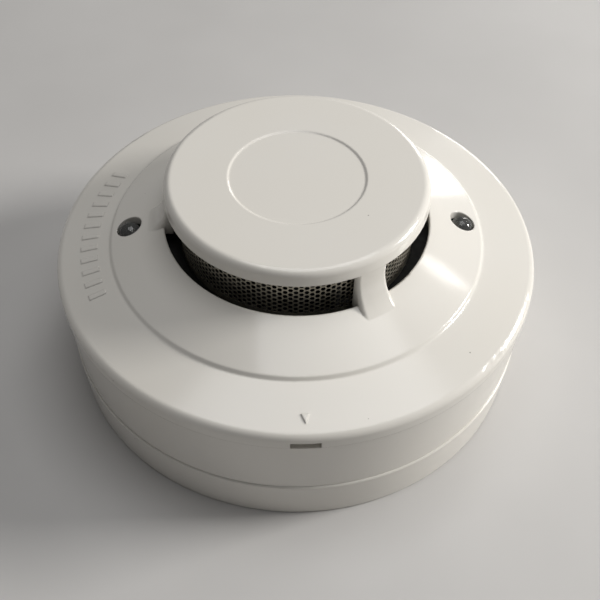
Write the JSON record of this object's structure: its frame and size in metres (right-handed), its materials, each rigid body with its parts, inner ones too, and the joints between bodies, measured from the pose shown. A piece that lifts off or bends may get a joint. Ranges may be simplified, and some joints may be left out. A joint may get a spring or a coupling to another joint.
{
  "type": "smoke and heat detector",
  "caption": "Round white ceiling fire detector with a raised vented cap, insect screen, alarm LEDs and a twist-lock mounting base.",
  "frame": {"origin": "centre of the mounting face, on the back of the base", "axes": "+Z from the mounting face towards the cap; -Y towards the alignment mark and the pry notch; the alarm LEDs are on +X and -X"},
  "size_m": [0.102, 0.102, 0.0475],
  "materials": {
    "cover_white": "glossy warm white moulded ABS",
    "body_white": "glossy warm white moulded ABS",
    "base_white": "glossy warm white moulded ABS",
    "plated_steel": "zinc plated, satin",
    "contact_steel": "nickel plated spring strip",
    "brass": "plain turned brass",
    "tinned_sheet": "tinned sheet",
    "screen_steel": "dark etched stainless strip",
    "label_paper": "matt blank label",
    "board_green": "green solder resist, semi gloss",
    "chip_black": "moulded epoxy",
    "capacitor_can": "printed sleeve over an aluminium can",
    "film_yellow": "box capacitor shell",
    "resistor_blue": "lacquered body with plain colour bands",
    "clear_led": "water clear epoxy",
    "spacer_natural": "natural nylon",
    "chamber_black": "matt black moulding",
    "emitter_blue": "smoky blue epoxy",
    "receiver_black": "daylight filter epoxy",
    "thermistor_glass": "glass coated bead"
  },
  "bodies": {
    "base": {"base_shell": "base_white", "base_contact_1": "contact_steel", "base_contact_2": "contact_steel", "base_contact_3": "contact_steel", "base_contact_4": "contact_steel", "terminal_screws": "plated_steel", "clamp_washers": "plated_steel", "base_rivets": "brass"},
    "head": {"alarm_led_left": "clear_led", "alarm_led_right": "clear_led", "amplifier_chip": "chip_black", "board_screws": "plated_steel", "chamber_base": "chamber_black", "chamber_cover": "chamber_black", "circuit_board": "board_green", "contact_blade_1": "contact_steel", "contact_blade_2": "contact_steel", "contact_blade_3": "contact_steel", "contact_blade_4": "contact_steel", "contact_posts": "brass", "controller_chip": "chip_black", "film_capacitor": "film_yellow", "head_body": "body_white", "infrared_led": "emitter_blue", "insect_screen": "screen_steel", "large_capacitor": "capacitor_can", "led_spacers": "spacer_natural", "photodiode": "receiver_black", "rating_label": "label_paper", "rectifier_diodes": "chip_black", "resistors": "resistor_blue", "sensor_shield": "tinned_sheet", "small_capacitors": "capacitor_can", "thermistor": "thermistor_glass", "transistor": "chip_black"},
    "cover": {"outer_cover": "cover_white"}
  },
  "joints": [
    {"name": "head_twist", "type": "hinge", "parent": "base", "child": "head", "pos_m": [0, 0, 0], "axis": [0, 0, 1], "range_deg": [0, 18]},
    {"name": "cover_lift", "type": "slide", "parent": "head", "child": "cover", "axis": [0, 0, 1], "range_m": [0, 0.03]}
  ]
}
